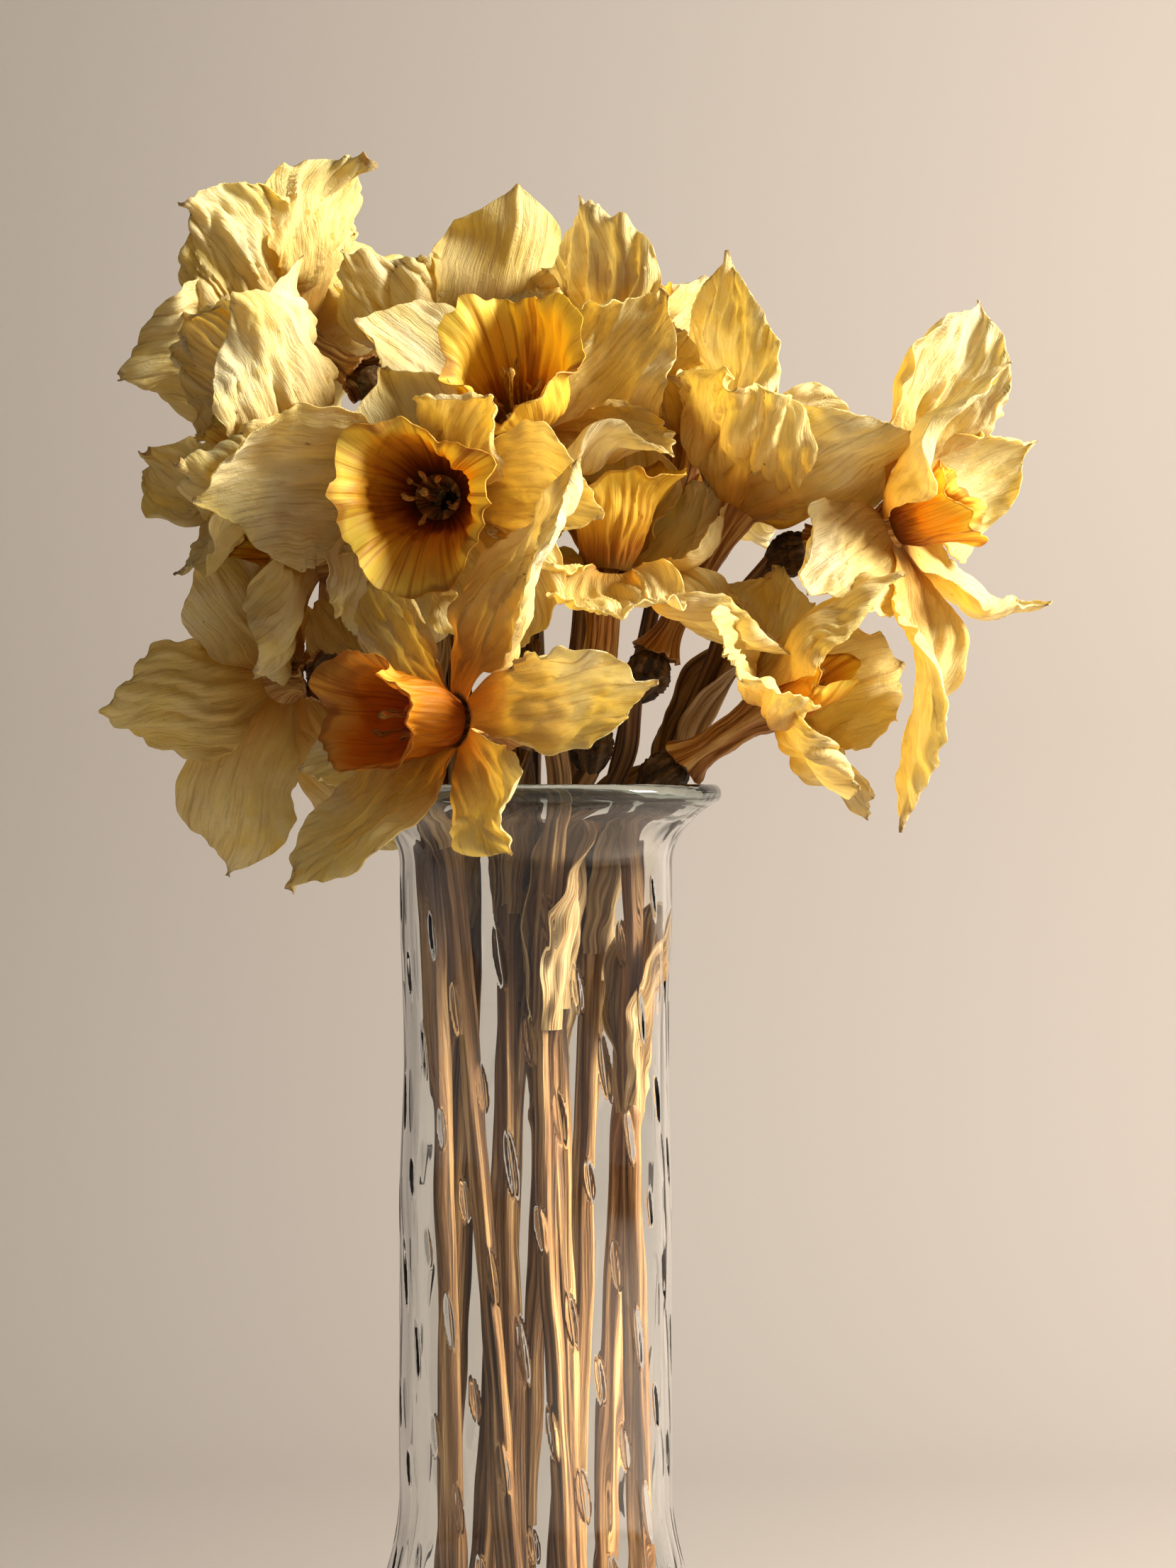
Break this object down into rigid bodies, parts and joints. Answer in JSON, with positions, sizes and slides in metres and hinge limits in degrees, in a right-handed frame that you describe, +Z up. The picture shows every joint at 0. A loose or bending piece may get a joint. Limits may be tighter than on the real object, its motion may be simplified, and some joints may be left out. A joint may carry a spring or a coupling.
{
  "type": "dried daffodils in a glass vase",
  "caption": "Bunch of dried daffodils with papery cream tepals and amber trumpets, standing in a clear glass vase with a flared lip and a long neck.",
  "frame": {"origin": "centre of the vase's flat base", "axes": "+Z up along the vase, -Y towards the side that shows the most open flowers, +X to the right seen from there"},
  "size_m": [0.1887, 0.1326, 0.3581],
  "materials": {
    "glass": "clear, faint green-grey, with drawn-out dimples",
    "stem": "dry, ridged lengthways",
    "spathe": "dry papery skin, striped lengthways",
    "tepal": "dry papery petal, crumpled",
    "corona": "dry papery trumpet, ruffled rim"
  },
  "bodies": {
    "root": {"vase": "glass", "stem_01": "stem", "stem_02": "stem", "stem_03": "stem", "stem_04": "stem", "stem_05": "stem", "stem_06": "stem", "stem_07": "stem", "stem_08": "stem", "stem_09": "stem", "stem_10": "stem", "stem_11": "stem", "stem_12": "stem", "stem_13": "stem", "stem_14": "stem", "spathe_01": "spathe", "spathe_02": "spathe", "spathe_03": "spathe", "spathe_04": "spathe", "spathe_05": "spathe", "spathe_06": "spathe", "spathe_07": "spathe", "spathe_08": "spathe", "spathe_09": "spathe", "spathe_10": "spathe", "spathe_11": "spathe", "spathe_12": "spathe", "spathe_13": "spathe", "spathe_14": "spathe", "perianth_01": "tepal", "perianth_02": "tepal", "perianth_03": "tepal", "perianth_04": "tepal", "perianth_05": "tepal", "perianth_06": "tepal", "perianth_07": "tepal", "perianth_08": "tepal", "perianth_09": "tepal", "perianth_10": "tepal", "perianth_11": "tepal", "perianth_12": "tepal", "perianth_13": "tepal", "perianth_14": "tepal", "corona_01": "corona", "corona_02": "corona", "corona_03": "corona", "corona_04": "corona", "corona_05": "corona", "corona_06": "corona", "corona_07": "corona", "corona_08": "corona", "corona_09": "corona", "corona_10": "corona", "corona_11": "corona", "corona_12": "corona", "corona_13": "corona", "corona_14": "corona"}
  },
  "joints": []
}
